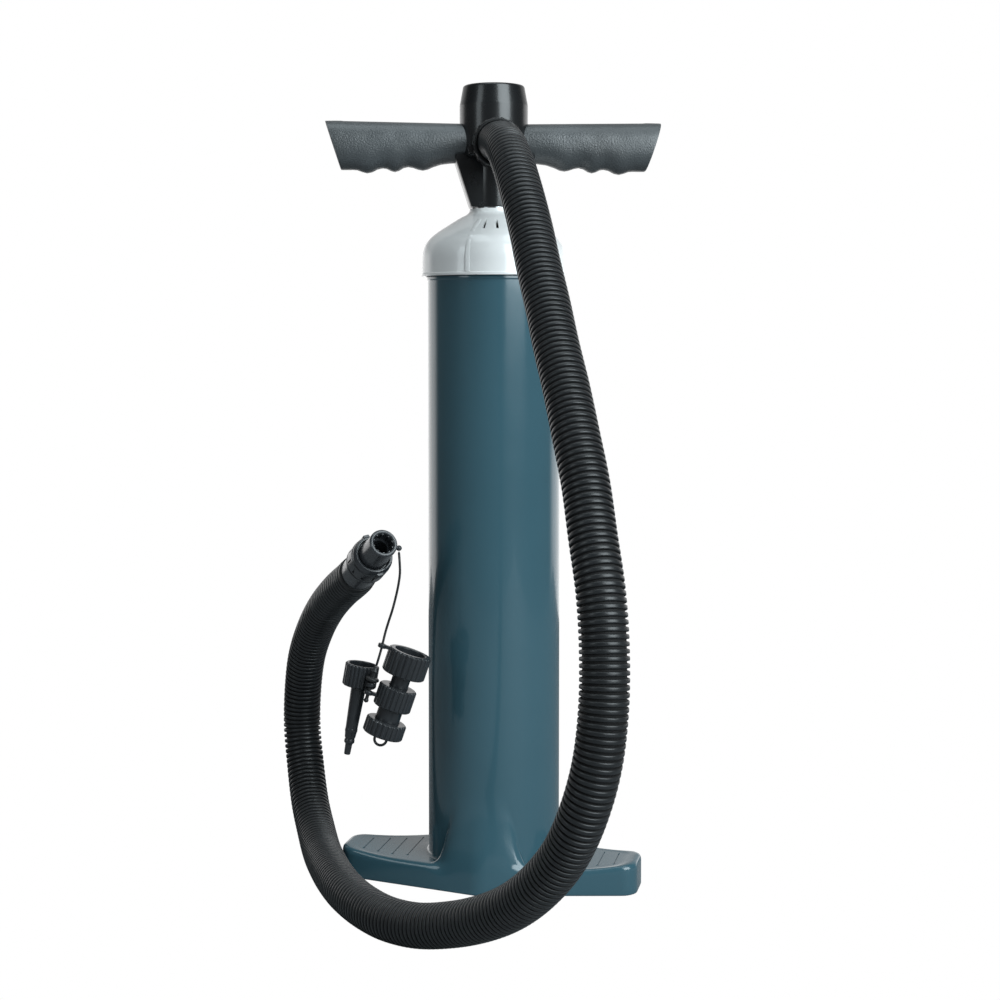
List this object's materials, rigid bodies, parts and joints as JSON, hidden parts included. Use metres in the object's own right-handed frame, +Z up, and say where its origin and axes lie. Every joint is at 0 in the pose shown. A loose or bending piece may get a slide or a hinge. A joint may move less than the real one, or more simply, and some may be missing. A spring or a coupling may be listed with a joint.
{
  "type": "hand pump",
  "caption": "Upright double action hand pump with a T handle, vented screw-down cap, cross foot and corrugated hose ending in push-on adapters.",
  "frame": {"origin": "on the floor, under the barrel's axis", "axes": "+Z up the barrel's axis; X along the foot, whose length is turned 3.5 degrees clockwise from it; the user stands on the +Y or -Y side, and the hose leaves the hub towards -Y"},
  "size_m": [0.3131, 0.4041, 0.602],
  "materials": {
    "barrel": "glossy moulded, grey teal",
    "cap": "glossy moulded, white",
    "hub": "glossy moulded, black",
    "grip": "fine satin, charcoal",
    "inner_plastic": "moulded, dark grey",
    "bush": "self-lubricating, grey",
    "rod": "smooth drawn tube, black",
    "rubber": "moulded",
    "steel": "zinc plated",
    "hose": "corrugated, flexible, satin",
    "fitting": "satin moulded, dark grey",
    "collar": "satin moulded, near black",
    "adapter": "satin moulded, near black",
    "tether": "flexible moulded cord"
  },
  "bodies": {
    "barrel": {"barrel": "barrel", "intake_stud": "inner_plastic", "cylinder_head": "inner_plastic", "head_seal": "rubber", "head_keeper": "inner_plastic", "cap": "cap"},
    "intake_valve": {"intake_disc": "rubber"},
    "head_valve": {"head_ring_valve": "rubber"},
    "turning": {"guide_bush": "bush", "bush_seal": "rubber", "rod_seal": "rubber", "hose": "hose", "end_ring": "rubber", "end_sleeve": "fitting", "spigot": "fitting", "tether": "tether", "tether_toggle": "tether", "wide_adapter": "adapter", "middle_adapter": "adapter", "sealing_adapter": "adapter", "nozzle_adapter": "adapter"},
    "plunger": {"rod": "rod", "piston_body": "inner_plastic", "piston_crown": "inner_plastic", "piston_seal": "rubber", "lower_valve_keeper": "inner_plastic", "upper_valve_keeper": "inner_plastic", "piston_screws": "steel", "rod_pin": "steel", "bumper": "rubber", "hub": "hub", "left_grip": "grip", "right_grip": "grip", "grip_screws": "steel", "port_seal": "rubber", "hose_cuff": "inner_plastic"},
    "lower_valve": {"lower_valve_disc": "rubber"},
    "upper_valve": {"upper_valve_ring": "rubber"},
    "nut": {"port_nut": "hub"},
    "collar": {"twist_collar": "collar"}
  },
  "joints": [
    {"name": "handle_turn", "type": "hinge", "parent": "barrel", "child": "turning", "pos_m": [0, 0, 0.48], "axis": [0, 0, 1], "range_deg": [-20, 20]},
    {"name": "stroke", "type": "slide", "parent": "turning", "child": "plunger", "axis": [0, 0, 1], "range_m": [0, 0.375], "deforming": ["hose"]},
    {"name": "intake_lift", "type": "slide", "parent": "barrel", "child": "intake_valve", "axis": [0, 0, 1], "range_m": [0, 0.0022]},
    {"name": "head_valve_close", "type": "slide", "parent": "barrel", "child": "head_valve", "axis": [0, 0, 1], "range_m": [0, 0.0021]},
    {"name": "lower_valve_lift", "type": "slide", "parent": "plunger", "child": "lower_valve", "axis": [0, 0, 1], "range_m": [0, 0.0022]},
    {"name": "upper_valve_close", "type": "slide", "parent": "plunger", "child": "upper_valve", "axis": [0, 0, 1], "range_m": [0, 0.0022]},
    {"name": "nut_turn", "type": "hinge", "parent": "plunger", "child": "nut", "pos_m": [0, 0, 0.555], "axis": [0.225, -0.9744, 0], "range_deg": [0, 60]},
    {"name": "collar_turn", "type": "hinge", "parent": "turning", "child": "collar", "pos_m": [-0.099, -0.0377, 0.2337], "axis": [0.4865, -0.7378, 0.4679], "range_deg": [0, 60]}
  ]
}
